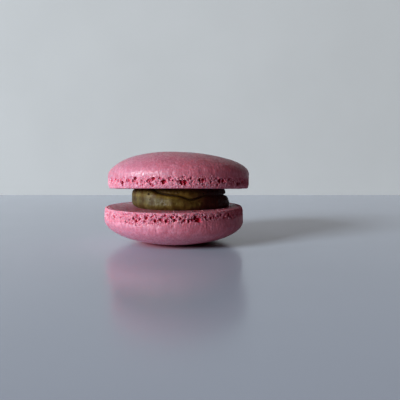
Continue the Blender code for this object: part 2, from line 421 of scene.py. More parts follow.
def hollows(tree, place, scale):
    # round dips of many sizes, one in a cell, 0 outside them and 1 at most; some cells stay closed
    cell = addNode(tree, "ShaderNodeTexVoronoi", {"Vector": place, "Scale": scale})
    chances = parted(tree, cell.outputs["Color"])
    width = calc(tree, "ADD", 0.34, calc(tree, "MULTIPLY", chances[0], 0.34))
    share = calc(tree, "DIVIDE", cell.outputs["Distance"], width)
    dip = calc(tree, "MAXIMUM", calc(tree, "SUBTRACT", 1.0, calc(tree, "MULTIPLY", share, share)), 0.0)
    return calc(tree, "MULTIPLY", dip, ramp(tree, chances[1], 0.1, 0.9, 0.15, 1.0, smooth=False))


def meringueTree():
    # relief of one shell: flat face at height 0, dome up, all in millimetres
    tree, given, result = newGroup(
        "meringueRelief",
        "GeometryNodeTree",
        [
            ("Geometry", "Geometry", None),
            ("Large Bubbles", "Object", None),
            ("Foot Top", "Float", 3.0),
            ("Foot Inset", "Float", 0.2),
            ("Foot Wander", "Float", 0.4),
            ("Foot Lift", "Float", 0.0),
            ("Lift Towards", "Vector", None),
            ("Rim Strip", "Float", 0.6),
            ("Hollow Size", "Float", 1.0),
            ("Hollow Depth", "Float", 0.3),
            ("Pore Spacing", "Float", 0.4),
            ("Pore Radius", "Float", 0.16),
            ("Crumble", "Float", 0.12),
            ("Skin Wave", "Float", 0.1),
            ("Skin Grain", "Float", 0.02),
            ("Skin Wrinkle", "Float", 0.04),
            ("Pimple", "Float", 0.05),
            ("Flat From", "Float", 99.0),
            ("Seed", "Int", 0),
            ("Material", "Material", None),
        ],
        [("Geometry", "Geometry")],
    )
    layer = bubbleLayerGroup(bubbleWallGroup())
    place = tree.nodes.new("GeometryNodeInputPosition").outputs[0]
    normal = tree.nodes.new("GeometryNodeInputNormal").outputs[0]
    shift = addNode(tree, "ShaderNodeCombineXYZ", {0: given["Seed"], 1: given["Seed"], 2: given["Seed"]}).outputs[0]
    spot = vec(tree, "ADD", place, shift)  # where the noises are read, so that each shell differs
    height = addNode(tree, "ShaderNodeSeparateXYZ", {0: place}).outputs[2]
    reach = vec(tree, "LENGTH", vec(tree, "MULTIPLY", place, (1.0, 1.0, 0.0)))

    # the foot: from the rim up to the ragged edge of the skin
    ring = vec(tree, "MULTIPLY", spot, (1.0, 1.0, 0.15))
    edge = calc(tree, "ADD", given["Foot Top"], sway(tree, ring, 0.55, given["Foot Wander"], 3.0))
    outward = vec(tree, "NORMALIZE", vec(tree, "MULTIPLY", place, (1.0, 1.0, 0.0)))
    lifted = ramp(tree, vec(tree, "DOT_PRODUCT", outward, given["Lift Towards"]), 0.6, 0.98)
    edge = calc(tree, "ADD", edge, calc(tree, "MULTIPLY", given["Foot Lift"], lifted))
    past = calc(tree, "SUBTRACT", height, edge)  # above the skin's edge when positive
    onSide = ramp(tree, reach, 20.0, 20.6)
    foot = calc(tree, "MULTIPLY", ramp(tree, past, -0.15, 0.15, 1.0, 0.0), onSide)
    strip = calc(tree, "ADD", given["Rim Strip"], sway(tree, ring, 0.4, 0.2, 2.0))
    band = calc(tree, "MULTIPLY", foot, ramp(tree, calc(tree, "SUBTRACT", height, strip), -0.3, 0.3, 0.25, 1.0))
    rimFade = ramp(tree, height, 0.0, 0.22)
    skin = ramp(tree, past, -0.4, 0.3)

    # the warp that keeps the bubbles from being round
    bend = noise(tree, spot, 1.1, 3.0, 0.6, "Color")
    bend = scaled(tree, vec(tree, "SUBTRACT", bend, (0.5, 0.5, 0.5)), 1.5)
    twist = noise(tree, spot, 2.4, 2.0, 0.5, "Color")
    twist = scaled(tree, vec(tree, "SUBTRACT", twist, (0.5, 0.5, 0.5)), 1.1)
    ragged = vec(tree, "ADD", place, scaled(tree, twist, foot))
    warped = vec(tree, "ADD", ragged, scaled(tree, bend, foot))

    # shallow open bubbles side by side, in two sizes
    strewn = vec(tree, "ADD", warped, shift)
    closeness = calc(tree, "DIVIDE", 1.0, given["Hollow Size"])
    wide = hollows(tree, strewn, closeness)
    narrow = hollows(tree, vec(tree, "ADD", strewn, (3.0, 9.0, 6.0)), calc(tree, "MULTIPLY", closeness, 2.1))
    hollow = calc(tree, "ADD", wide, calc(tree, "MULTIPLY", narrow, 0.5))
    hollow = calc(tree, "MULTIPLY", calc(tree, "MULTIPLY", hollow, given["Hollow Depth"]), calc(tree, "MULTIPLY", band, rimFade))

    # large bubbles at their own places, then pores strewn over the foot
    large = addNode(tree, "GeometryNodeObjectInfo", {"Object": given["Large Bubbles"]}).outputs["Geometry"]
    where = calc(tree, "GREATER_THAN", foot, 0.5)
    fine = scatterBubbles(
        tree, given["Geometry"], where, given["Pore Spacing"],
        calc(tree, "MULTIPLY", given["Pore Radius"], 0.4), given["Pore Radius"], calc(tree, "ADD", given["Seed"], 40.0),
    )
    torn = ramp(tree, noise(tree, spot, 1.7, 2.0), 0.25, 0.75, 0.8, 1.25)  # uneven walls
    fineShare = calc(tree, "MULTIPLY", calc(tree, "MULTIPLY", foot, rimFade), torn)
    moves, depth, free = [], None, None
    for bubbles, where, share in ((large, ragged, torn), (fine, warped, fineShare)):
        opened = addNode(tree, "GeometryNodeGroup", node_tree=layer)
        feed(tree, opened.inputs["Bubbles"], bubbles)
        feed(tree, opened.inputs["Place"], where)
        feed(tree, opened.inputs["Normal"], normal)
        feed(tree, opened.inputs["Share"], share)
        if depth is None:
            moves.append(opened.outputs["Offset"])
            depth = opened.outputs["Depth"]
        else:
            free = calc(tree, "LESS_THAN", depth, 0.001)  # no larger bubble is open here
            moves.append(scaled(tree, opened.outputs["Offset"], free))
            depth = calc(tree, "ADD", depth, calc(tree, "MULTIPLY", opened.outputs["Depth"], free))
    bubbleMove = vec(tree, "ADD", moves[0], moves[1])
    hollow = calc(tree, "MULTIPLY", hollow, ramp(tree, depth, 0.0, 0.3, 1.0, 0.2))
    depth = calc(tree, "ADD", depth, calc(tree, "MULTIPLY", hollow, 0.6))

    # crumbly grain of the foot: soft lumps with small peaks on them
    lumps = calc(tree, "SUBTRACT", noise(tree, spot, 1.5, 3.0, 0.65), 0.5)
    peaks = ramp(tree, noise(tree, vec(tree, "ADD", spot, (7.0, 3.0, 5.0)), 2.6, 2.0), 0.5, 0.75)
    grain = calc(tree, "ADD", calc(tree, "MULTIPLY", lumps, 2.6), peaks)
    crumble = calc(tree, "MULTIPLY", calc(tree, "MULTIPLY", grain, given["Crumble"]), calc(tree, "MULTIPLY", foot, rimFade))

    # the skin: slow swell, eggshell grain, faint upright wrinkles above the foot, a few pinholes
    wave = sway(tree, spot, 0.11, given["Skin Wave"], 1.0)
    eggshell = sway(tree, spot, 1.25, given["Skin Grain"], 1.0)
    eggshell = calc(tree, "MULTIPLY", eggshell, ramp(tree, height, 5.5, 8.5, 1.0, 0.6))
    tall = vec(tree, "MULTIPLY", spot, (1.0, 1.0, 0.22))
    wrinkle = calc(tree, "MULTIPLY", sway(tree, tall, 1.3, given["Skin Wrinkle"], 2.0), ramp(tree, height, 8.0, 4.0))
    holeCell = addNode(tree, "ShaderNodeTexVoronoi", {"Vector": spot, "Scale": 0.42})
    rare = parted(tree, holeCell.outputs["Color"])
    hole = ramp(tree, holeCell.outputs["Distance"], 0.03, 0.10, 1.0, 0.0)
    hole = calc(tree, "MULTIPLY", hole, calc(tree, "GREATER_THAN", rare[1], 0.72))
    bead = ramp(tree, holeCell.outputs["Distance"], 0.04, 0.26, 1.0, 0.0)
    bead = calc(tree, "MULTIPLY", bead, ramp(tree, rare[1], 0.60, 0.0, 0.0, 1.0))
    skinRelief = calc(tree, "ADD", calc(tree, "ADD", eggshell, wrinkle), calc(tree, "MULTIPLY", hole, -0.10))
    skinRelief = calc(tree, "ADD", skinRelief, calc(tree, "MULTIPLY", bead, given["Pimple"]))
    skinRelief = calc(tree, "MULTIPLY", skinRelief, calc(tree, "SUBTRACT", 1.0, foot))
    flat = given["Flat From"]  # the tip that the shell rests on stays plane
    skinRelief = calc(tree, "MULTIPLY", skinRelief, ramp(tree, height, calc(tree, "SUBTRACT", flat, 0.25), flat, 1.0, 0.0))
    calm = ramp(tree, height, calc(tree, "SUBTRACT", flat, 0.8), flat, 1.0, 0.0)
    wave = calc(tree, "MULTIPLY", calc(tree, "MULTIPLY", wave, ramp(tree, height, 0.3, 6.0)), calm)

    inset = calc(tree, "MULTIPLY", calc(tree, "SUBTRACT", 1.0, skin), given["Foot Inset"])
    inset = calc(tree, "MULTIPLY", inset, onSide)
    rise = calc(tree, "ADD", calc(tree, "ADD", skinRelief, wave), crumble)
    rise = calc(tree, "SUBTRACT", calc(tree, "SUBTRACT", rise, inset), hollow)
    move = vec(tree, "ADD", scaled(tree, normal, rise), bubbleMove)

    body = given["Geometry"]
    face = calc(tree, "MULTIPLY", ramp(tree, height, 0.02, 0.12, 1.0, 0.0), ramp(tree, depth, 0.0, 0.1, 1.0, 0.0))
    for label, value in (("pit", depth), ("foot", foot), ("crumb", grain), ("face", face)):
        store = addNode(tree, "GeometryNodeStoreNamedAttribute", {"Name": label}, data_type="FLOAT", domain="POINT")
        feed(tree, store.inputs["Geometry"], body)
        feed(tree, store.inputs["Value"], value)
        body = store.outputs[0]
    body = addNode(tree, "GeometryNodeSetPosition", {"Geometry": body, "Offset": move}).outputs[0]
    body = addNode(tree, "GeometryNodeSetShadeSmooth", {"Geometry": body}).outputs[0]
    body = addNode(tree, "GeometryNodeRealizeInstances", {"Geometry": body}).outputs[0]
    body = addNode(tree, "GeometryNodeSetMaterial", {"Geometry": body, "Material": given["Material"]}).outputs[0]
    feed(tree, result["Geometry"], body)
    return tree


def shiftDome(mesh, one):
    # pushes the shoulder and the tip sideways, as the batter settled
    for point in mesh.vertices:
        climb = max(0.0, point.co.z - shell["sideHeight"]) / one["domeHeight"]
        below = max(0.0, 1.0 - point.co.z / shell["taperHeight"])
        narrower = 1.0 - shell["rimTaper"] * below * below / (one["diameter"] / 2)
        point.co.x = point.co.x * narrower + one["shoulderDrift"] * math.sin(math.pi * climb) + one["tipDrift"] * climb**3
        point.co.y *= narrower


def placeOfShell(one):
    low, high = (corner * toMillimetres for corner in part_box(one["node"]))
    middle = (low + high) / 2
    if one is lowerShell:
        return Matrix.Translation((middle.x, middle.y, high.z)) @ Matrix.Rotation(math.pi, 4, "X")
    lean = math.radians(one["lean"])
    faceHeight = low.z + (one["diameter"] / 2 - shell["cadRounding"]) * math.sin(lean)
    return Matrix.Translation((middle.x, middle.y, faceHeight)) @ Matrix.Rotation(-lean, 4, "X")


def makeShell(name, one, tree, material):
    facing = -1 if one is lowerShell else 1  # the lower shell is turned over, front to front
    mesh = turnedMesh(name + "Blank", shellRings(one))
    shiftDome(mesh, one)
    seeds = bubbleSeeds(one, facing)
    top = shell["sideHeight"] + one["domeHeight"]
    lift = math.radians(one["liftTowards"])
    values = {
        "Large Bubbles": seeds,
        "Foot Top": one["footTop"],
        "Foot Inset": shell["footInset"],
        "Foot Wander": shell["footWander"],
        "Foot Lift": one["footLift"],
        "Lift Towards": (math.sin(lift), -facing * math.cos(lift), 0.0),
        "Rim Strip": one["rimStrip"],
        "Hollow Size": one["hollowSize"],
        "Hollow Depth": one["hollowDepth"],
        "Pore Spacing": one["poreSpacing"],
        "Pore Radius": one["poreRadius"],
        "Crumble": shell["crumble"],
        "Skin Wave": shell["skinWave"],
        "Skin Grain": shell["skinGrain"],
        "Skin Wrinkle": shell["skinWrinkle"],
        "Pimple": shell["pimple"],
        "Flat From": top - one["restDepth"] if one["restDepth"] else 99.0,
        "Seed": one["seed"],
        "Material": material,
    }
    piece = growPiece(name, mesh, tree, values, placeOfShell(one))
    bpy.data.objects.remove(seeds)
    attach(piece, "root")
    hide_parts(one["node"])
    return piece



filling = {
    "node": "filling",
    "radius": 14.75,
    "shift": (1.55, -0.6),       # its middle from the lower shell's, right and back
    "contact": 0.05,            # how far it presses into each shell
    # the fold between the two turns; angles in degrees from +X towards +Y, the front is -90
    "foldDepth": 0.8,
    "foldWidth": 0.044,         # share of the height
    "foldShare": 0.66,          # share of the height at which it runs, on the whole
    "foldWaves": [(-145, 28, 0.66), (-72, 11, -0.18), (60, 35, 0.10), (140, 20, -0.14)],  # angle, width, rise
    "foldFades": [(-150, 22), (165, 30), (-38, 24)],  # angle and width of the places where it nearly closes
    "valleyDepth": 0.22,
    "valleyWidth": 0.13,
    "recess": 0.20,             # the upper turn stands this far back
    "recessPlaces": [(-88, 46, 1.0), (95, 50, 0.7)],  # angle, width, share
    "belly": 0.20,              # the lower turn stands out past the upper one by this
    "spread": 2.15,              # extra spread where it was squeezed out
    "spreadAngle": -15,
    "swell": (-96, 46, 1.6),    # angle, width and depth of the lower turn's swell to the front
    "topRounding": 0.35,
    "bottomRounding": 1.25,
    "roundingShare": 0.27,
    "segments": 880,
    "rings": 76,
    "lump": 0.16,
    "lobe": 0.19,               # soft upright swells
    "smear": 0.05,
    "grain": 0.032,
    "coarseFrom": 7.5,          # right of this the squeezed-out side is crumbly
    "coarse": 0.24,
    # pits and dimples: angle, share of the height, radius, how far the middle stands out
    "dimples": [
        (-122, 0.76, 0.42, 0.10), (-119, 0.55, 0.90, 0.76), (-104, 0.30, 0.7, 0.56), (-66, 0.34, 0.6, 0.52),
        (-88, 0.80, 0.24, 0.05), (-150, 0.35, 0.22, 0.05), (-45, 0.62, 0.4, 0.15), (-58, 0.75, 0.3, 0.05),
    ],
    "dimpleSpacing": 3.2,
    "dimpleRadius": 0.26,
    "seed": 3,
}


def bellAt(angle, middle, width):
    turn = math.degrees(math.remainder(angle - math.radians(middle), math.tau))
    return math.exp(-((turn / width) ** 2))


def foldHeight(angle):
    return filling["foldShare"] + sum(rise * bellAt(angle, at, width) for at, width, rise in filling["foldWaves"])


def foldAt(angle, share):
    # 1 in the fold, where it is fully open
    openness = 1.0 - 0.8 * max(bellAt(angle, at, width) for at, width in filling["foldFades"])
    return openness * math.exp(-abs((share - foldHeight(angle)) / filling["foldWidth"]) ** 2.0)


def fillingReach(angle, share):
    fold = foldHeight(angle)
    away = share - fold
    groove = filling["foldDepth"] * foldAt(angle, share)
    groove += filling["valleyDepth"] * math.exp(-((away / filling["valleyWidth"]) ** 2))
    back = filling["recess"] * sum(s * bellAt(angle, at, width) for at, width, s in filling["recessPlaces"])
    back *= 0.5 + 0.5 * math.tanh(away / filling["foldWidth"])
    belly = filling["belly"] * math.sin(math.pi * min(1.0, share / fold))
    towards = max(0.0, math.cos(angle - math.radians(filling["spreadAngle"])))
    spread = filling["spread"] * towards**4 * (1.0 - share) ** 1.5
    front, width, swell = filling["swell"]
    spread += swell * bellAt(angle, front, width) * math.sqrt(1.0 - min(share, 1.0))
    edge = 1.0 - min(share, 1.0 - share, filling["roundingShare"]) / filling["roundingShare"]
    rounding = filling["bottomRounding"] if share < 0.5 else filling["topRounding"]
    return filling["radius"] + belly + spread - groove - back - rounding * edge * edge


def fillingTree():
    # relief of the paste, in millimetres where it lies
    tree, given, result = newGroup(
        "fillingRelief",
        "GeometryNodeTree",
        [
            ("Geometry", "Geometry", None),
            ("Dimples", "Object", None),
            ("Dimple Spacing", "Float", 3.0),
            ("Dimple Radius", "Float", 0.3),
            ("Lump", "Float", 0.15),
            ("Lobe", "Float", 0.15),
            ("Smear", "Float", 0.05),
            ("Grain", "Float", 0.02),
            ("Coarse From", "Float", 9.0),
            ("Coarse", "Float", 0.15),
            ("Seed", "Int", 0),
            ("Material", "Material", None),
        ],
        [("Geometry", "Geometry")],
    )
    layer = bpy.data.node_groups["bubbleLayer"]
    place = tree.nodes.new("GeometryNodeInputPosition").outputs[0]
    normal = tree.nodes.new("GeometryNodeInputNormal").outputs[0]
    upward = addNode(tree, "ShaderNodeSeparateXYZ", {0: normal}).outputs[2]
    side = ramp(tree, calc(tree, "ABSOLUTE", upward), 0.5, 0.9, 1.0, 0.0)
    lumps = sway(tree, place, 0.38, given["Lump"], 1.0)
    lumps = calc(tree, "ADD", lumps, sway(tree, vec(tree, "MULTIPLY", place, (1.0, 1.0, 0.3)), 0.42, given["Lobe"], 1.0))
    smear = sway(tree, vec(tree, "MULTIPLY", place, (1.0, 1.0, 2.2)), 0.7, given["Smear"], 3.0)
    grain = sway(tree, place, 2.2, given["Grain"], 3.0)
    aside = addNode(tree, "ShaderNodeSeparateXYZ", {0: place}).outputs[0]
    coarse = calc(tree, "MULTIPLY", given["Coarse"], ramp(tree, aside, given["Coarse From"], calc(tree, "ADD", given["Coarse From"], 5.0)))
    crumbly = sway(tree, place, 1.1, coarse, 3.0)
    rise = calc(tree, "ADD", calc(tree, "ADD", lumps, smear), calc(tree, "ADD", grain, crumbly))

    where = calc(tree, "GREATER_THAN", side, 0.9)
    strewn = scatterBubbles(
        tree, given["Geometry"], where, given["Dimple Spacing"],
        calc(tree, "MULTIPLY", given["Dimple Radius"], 0.4), given["Dimple Radius"], given["Seed"],
    )
    placed = addNode(tree, "GeometryNodeObjectInfo", {"Object": given["Dimples"]}).outputs["Geometry"]
    bend = scaled(tree, vec(tree, "SUBTRACT", noise(tree, place, 1.3, 2.0, 0.5, "Color"), (0.5, 0.5, 0.5)), 0.6)
    warped = vec(tree, "ADD", place, bend)
    opened = []
    for points in (placed, strewn):
        node = addNode(tree, "GeometryNodeGroup", node_tree=layer)
        feed(tree, node.inputs["Bubbles"], points)
        feed(tree, node.inputs["Place"], warped)
        feed(tree, node.inputs["Normal"], normal)
        opened.append(node.outputs)
    free = calc(tree, "LESS_THAN", opened[0]["Depth"], 0.001)
    dents = vec(tree, "ADD", opened[0]["Offset"], scaled(tree, opened[1]["Offset"], free))
    depth = calc(tree, "ADD", opened[0]["Depth"], calc(tree, "MULTIPLY", opened[1]["Depth"], free))
    move = scaled(tree, vec(tree, "ADD", scaled(tree, normal, rise), dents), side)
    body = addNode(tree, "GeometryNodeStoreNamedAttribute", {"Name": "pit"}, data_type="FLOAT", domain="POINT")
    feed(tree, body.inputs["Geometry"], given["Geometry"])
    feed(tree, body.inputs["Value"], depth)
    body = addNode(tree, "GeometryNodeSetPosition", {"Geometry": body.outputs[0], "Offset": move}).outputs[0]
    body = addNode(tree, "GeometryNodeSetShadeSmooth", {"Geometry": body}).outputs[0]
    body = addNode(tree, "GeometryNodeRealizeInstances", {"Geometry": body}).outputs[0]
    body = addNode(tree, "GeometryNodeSetMaterial", {"Geometry": body, "Material": given["Material"]}).outputs[0]
    feed(tree, result["Geometry"], body)
    return tree


def fillingPoint(angle, reach, share, gap):
    # gap holds the middle, the bottom height, and the upper face's middle, height and slope
    x = gap["x"] + reach * math.cos(angle)
    y = gap["y"] + reach * math.sin(angle)
    top = gap["top"] - (y - gap["topY"]) * gap["slope"]
    return Vector((x, y, gap["bottom"] + (top - gap["bottom"]) * share))


def makeFilling(material):
    count, rows, full = filling["segments"], filling["rings"], 1.0
    rings = [(0.0, 0.0, 1)]
    rings += [(r / 20, 0.0, count // 4) for r in range(4, 17, 4)]
    rings += [(0.9, 0.0, count // 2), (0.96, 0.0, count)]
    rings += [(full, row / rows, count) for row in range(rows + 1)]
    rings += [(0.96, full, count), (0.9, full, count // 2)]
    rings += [(r / 20, full, count // 4) for r in range(16, 3, -4)]
    rings += [(0.0, full, 1)]
    mesh = turnedMesh("fillingBlank", rings)
    low, high = (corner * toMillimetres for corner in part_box("lower_shell"))
    face = placeOfShell(upperShell).translation
    contact = filling["contact"]
    gap = {
        "x": (low.x + high.x) / 2 + filling["shift"][0],
        "y": (low.y + high.y) / 2 + filling["shift"][1],
        "bottom": high.z - contact,
        "top": face.z + contact,
        "topY": face.y,
        "slope": math.tan(math.radians(upperShell["lean"])),
    }
    folds = []
    for point in mesh.vertices:
        x, y, share = point.co
        angle = math.atan2(y, x)
        point.co = fillingPoint(angle, fillingReach(angle, share) * math.hypot(x, y), share, gap)
        folds.append(foldAt(angle, share))
    mesh.attributes.new("fold", "FLOAT", "POINT").data.foreach_set("value", folds)
    mesh.update()
    spots = []
    for degrees, share, radius, stand in filling["dimples"]:
        angle = math.radians(degrees)
        spots.append((*fillingPoint(angle, fillingReach(angle, share) + stand, share, gap), radius))
    dimples = loosePoints("fillingDimples", spots)
    values = {
        "Dimples": dimples,
        "Dimple Spacing": filling["dimpleSpacing"],
        "Dimple Radius": filling["dimpleRadius"],
        "Lump": filling["lump"],
        "Lobe": filling["lobe"],
        "Smear": filling["smear"],
        "Grain": filling["grain"],
        "Coarse From": filling["coarseFrom"],
        "Coarse": filling["coarse"],
        "Seed": filling["seed"],
        "Material": material,
    }
    piece = growPiece("pipedFilling", mesh, fillingTree(), values, Matrix())
    bpy.data.objects.remove(dimples)
    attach(piece, "root")
    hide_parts(filling["node"])
    return piece


crumbs = {
    "sizes": (0.07, 0.19),      # radius
    "count": 34,                # strewn on the lower shell's flat face, clear of the filling
    "clear": 0.5,               # from the filling and from the rim
    "rough": 0.70,              # how lumpy they are, share of their radius
    "seed": 21,
    # more of them at chosen places: right of the shell's middle, back from it, radius
    "shellPlaced": [(1.0, -17.9, 0.20), (-7.7, -16.6, 0.16), (-19.5, -7.4, 0.26), (-18.2, -10.2, 0.22), (-20.6, -4.0, 0.24)],
    "pastePlaced": [(6.2, -18.7, 0.17), (12.6, -14.8, 0.20), (-13.2, -12.6, 0.14), (17.9, -5.2, 0.22), (2.5, 17.9, 0.20)],
}


def crumbTree():
    # a small lumpy grain on each point, of the point's own radius
    tree, given, result = newGroup(
        "crumbGrains",
        "GeometryNodeTree",
        [
            ("Geometry", "Geometry", None),
            ("Lumpiness", "Float", 0.3),
            ("Seed", "Int", 0),
            ("Material", "Material", None),
        ],
        [("Geometry", "Geometry")],
    )
    ball = addNode(tree, "GeometryNodeMeshIcoSphere", {"Radius": 1.0, "Subdivisions": 2}).outputs["Mesh"]
    radius = addNode(tree, "GeometryNodeInputNamedAttribute", {"Name": "bubbleRadius"}, data_type="FLOAT").outputs[0]
    chances = []
    for low, high, step in (((0.0,) * 3, (math.tau,) * 3, 0), ((0.7, 0.7, 0.45), (1.5, 1.1, 0.85), 1)):
        chance = addNode(tree, "FunctionNodeRandomValue", {"Min": low, "Max": high}, data_type="FLOAT_VECTOR")
        feed(tree, chance.inputs["Seed"], calc(tree, "ADD", given["Seed"], float(step)))
        chances.append(chance.outputs[0])
    spread = addNode(tree, "GeometryNodeInstanceOnPoints", {"Points": given["Geometry"], "Instance": ball})
    feed(tree, spread.inputs["Rotation"], chances[0])
    feed(tree, spread.inputs["Scale"], scaled(tree, chances[1], radius))
    body = addNode(tree, "GeometryNodeRealizeInstances", {"Geometry": spread.outputs[0]}).outputs[0]
    place = tree.nodes.new("GeometryNodeInputPosition").outputs[0]
    normal = tree.nodes.new("GeometryNodeInputNormal").outputs[0]
    lump = sway(tree, place, 4.5, calc(tree, "MULTIPLY", given["Lumpiness"], radius), 2.0)
    body = addNode(tree, "GeometryNodeSetPosition", {"Geometry": body, "Offset": scaled(tree, normal, lump)}).outputs[0]
    for label, value in (("foot", 1.0), ("crumb", 0.5)):
        store = addNode(tree, "GeometryNodeStoreNamedAttribute", {"Name": label}, data_type="FLOAT", domain="POINT")
        feed(tree, store.inputs["Geometry"], body)
        feed(tree, store.inputs["Value"], value)
        body = store.outputs[0]
    body = addNode(tree, "GeometryNodeSetShadeSmooth", {"Geometry": body}).outputs[0]
    body = addNode(tree, "GeometryNodeSetMaterial", {"Geometry": body, "Material": given["Material"]}).outputs[0]
    feed(tree, result["Geometry"], body)
    return tree


def makeCrumbs(shellFinish, pasteFinished):
    # fallen crumbs on the flat face of the lower shell
    rng = random.Random(crumbs["seed"])
    low, high = (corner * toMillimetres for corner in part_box("lower_shell"))
    middle, top = (low + high) / 2, high.z
    inner = filling["radius"] + filling["belly"] + filling["spread"]
    outer = lowerShell["diameter"] / 2 - shell["rimTaper"] - crumbs["clear"]
    strewn = []
    for k in range(crumbs["count"]):
        angle = math.tau * (k + rng.uniform(-0.5, 0.5)) / crumbs["count"]
        reach = outer - (outer - inner) * rng.random() ** 1.5
        size = crumbs["sizes"][0] + (crumbs["sizes"][1] - crumbs["sizes"][0]) * rng.random() ** 2
        strewn.append((reach * math.cos(angle), reach * math.sin(angle), size))
    tree = crumbTree()
    made = []
    for name, slot, finish, spots in (
        ("shellCrumbs", "shell", shellFinish, strewn + crumbs["shellPlaced"]),
        ("pasteCrumbs", "filling", pasteFinished, crumbs["pastePlaced"]),
    ):
        points = loosePoints(name + "Points", [(middle.x + x, middle.y + y, top + 0.5 * r, r) for x, y, r in spots])
        values = {"Lumpiness": crumbs["rough"], "Seed": crumbs["seed"], "Material": finish}
        piece = growPiece(name, points.data, tree, values, Matrix())
        bpy.data.objects.remove(points)
        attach(piece, "root")
        made.append(piece)
    return made


def grainGroup():
    # fine baked or kneaded grain, as a height, and a slow mottle, both about 0 to 1
    tree, given, result = newGroup(
        "foodGrain",
        "ShaderNodeTree",
        [("Place", "Vector", None), ("Grain Scale", "Float", 4.0), ("Mottle Scale", "Float", 0.4)],
        [("Height", "Float"), ("Mottle", "Float"), ("Fleck", "Float")],
    )
    fine = noise(tree, given["Place"], given["Grain Scale"], 2.5, 0.55)
    slow = noise(tree, given["Place"], given["Mottle Scale"], 3.0, 0.55)
    cell = addNode(tree, "ShaderNodeTexVoronoi", {"Vector": given["Place"], "Scale": calc(tree, "MULTIPLY", given["Grain Scale"], 0.3)})
    rare = parted(tree, cell.outputs["Color"])[0]
    fleck = calc(tree, "MULTIPLY", ramp(tree, cell.outputs["Distance"], 0.06, 0.24, 1.0, 0.0), ramp(tree, rare, 0.7, 0.9))
    feed(tree, result["Height"], fine)
    feed(tree, result["Mottle"], slow)
    feed(tree, result["Fleck"], fleck)
    return tree


def blend(tree, share, a, b, mode="MIX"):
    node = addNode(tree, "ShaderNodeMix", data_type="RGBA", blend_type=mode)
    for key, value in (("Factor_Float", share), ("A_Color", a), ("B_Color", b)):
        socket = next(s for s in node.inputs if s.identifier == key)
        feed(tree, socket, value)
    return next(s for s in node.outputs if s.identifier == "Result_Color")


def blendNumber(tree, share, a, b):
    node = addNode(tree, "ShaderNodeMix", data_type="FLOAT")
    for socket, value in zip(node.inputs, (share, None, a, b)):
        if value is not None:
            feed(tree, socket, value)
    return node.outputs[0]


def startMaterial(name):
    material = bpy.data.materials.new(name)
    material.use_nodes = True
    tree = material.node_tree
    shader = tree.nodes["Principled BSDF"]
    place = scaled(tree, tree.nodes.new("ShaderNodeTexCoord").outputs["Object"], toMillimetres)
    return material, tree, shader, place


meringueFinish = {
    "skin": (0.675, 0.250, 0.335, 1),
    "skinPale": (0.76, 0.325, 0.425, 1),
    "skinDeep": (0.55, 0.160, 0.225, 1),
    "flatFace": (0.53, 0.170, 0.225, 1),
    # paler raised grain of the foot, partly its own chalky colour and partly painted highlight
    "ridgePaleAndHighlight": (0.80, 0.42, 0.49, 1),
    "bowlRoseAndShade": (0.56, 0.100, 0.175, 1),   # in shallow bubbles: the crumb's own rose with painted shade
    # in the deepest bubbles: the crumb's own red with painted shade, crimson or near black
    "pitCrimsonAndShade": (0.54, 0.028, 0.075, 1),
    "pitShadeDark": (0.38, 0.010, 0.032, 1),
    "skinRoughness": (0.56, 0.285),  # where the sugar film is thin, and where it is whole
    "footRoughness": 0.95,
    "bump": 0.10,
    "streak": 0.8,                 # upright streaks, against the grain
    "streakTone": 0.70,            # and how much they darken
    "litSidePaint": (0.99, 1.09, 1.10, 1),  # painted light: the lit left side is made a little paler and cooler
    "shadedSidePaint": (0.97, 0.89, 0.85, 1),  # painted shade: the shaded right side is made a little deeper and redder
    "sidePaintReach": (-14.0, 14.0),
    "gloss": 0.5,
    "glow": 0.70,                  # how much light passes through the sugar crumb
    "glowReach": (1.0, 0.28, 0.25),
    "glowDepth": 0.0006,
}


